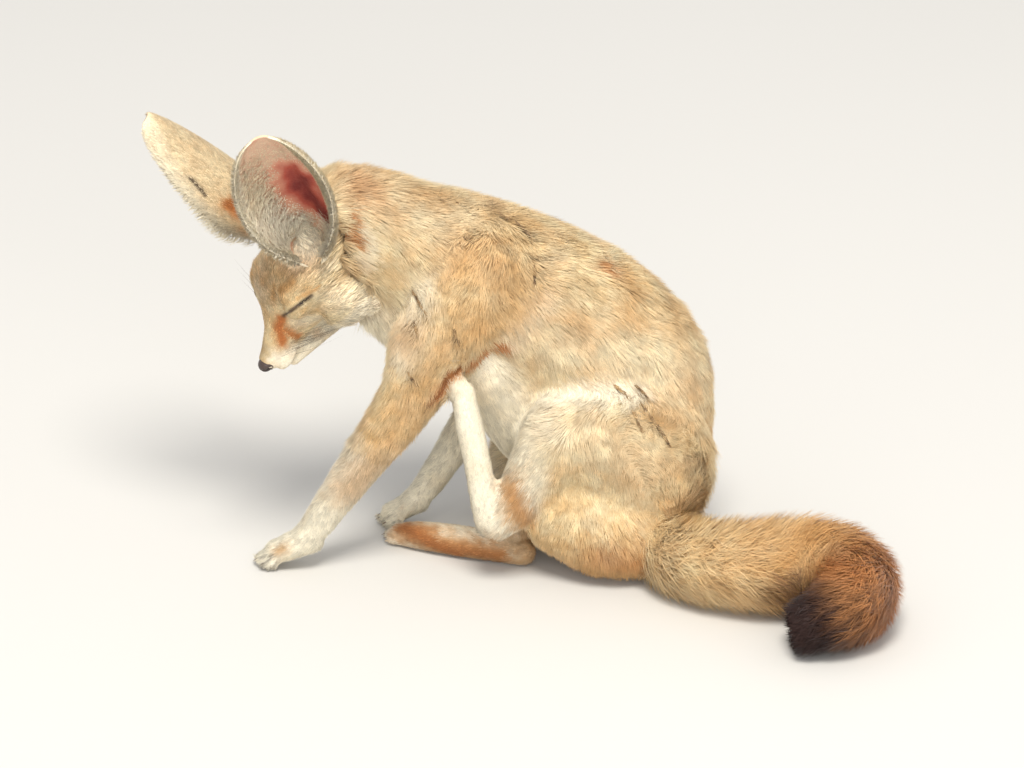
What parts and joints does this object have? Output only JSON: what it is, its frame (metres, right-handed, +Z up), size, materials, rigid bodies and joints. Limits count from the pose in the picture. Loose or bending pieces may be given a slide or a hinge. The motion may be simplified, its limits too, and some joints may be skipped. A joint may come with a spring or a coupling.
{
  "type": "fennec fox model",
  "caption": "Life-size still model of a fennec fox that sits and scratches behind its elbow with a raised hind foot, its tail curled on the ground.",
  "frame": {"origin": "on the floor under the rump that the fox sits on", "axes": "+X from the head to the tail, along the longest extent; -Y towards the fox's left side, which the picture shows; +Z up from the floor"},
  "size_m": [0.4382, 0.2134, 0.2998],
  "materials": {
    "fur_cream": "short soft fur",
    "fur_sand": "short soft fur",
    "fur_white": "short soft fur",
    "fur_tan": "short soft fur",
    "fur_dark": "long soft fur",
    "nose": "moist, fine-grained"
  },
  "bodies": {
    "root": {"head": "fur_cream", "forearm_left": "fur_cream", "forearm_right": "fur_cream", "thigh_left": "fur_cream", "thigh_right": "fur_cream", "shank_left": "fur_cream", "shank_right": "fur_cream", "eyelids_left": "fur_sand", "eyelids_right": "fur_sand", "neck": "fur_sand", "chest": "fur_sand", "rump": "fur_sand", "tail_base": "fur_sand", "tail_middle": "fur_sand", "forepaw_left": "fur_white", "forepaw_right": "fur_white", "hindfoot_left": "fur_white", "hindfoot_right": "fur_white", "ear_left": "fur_tan", "ear_right": "fur_tan", "upper_arm_left": "fur_tan", "upper_arm_right": "fur_tan", "tail_tip": "fur_dark", "nose": "nose"}
  },
  "joints": []
}
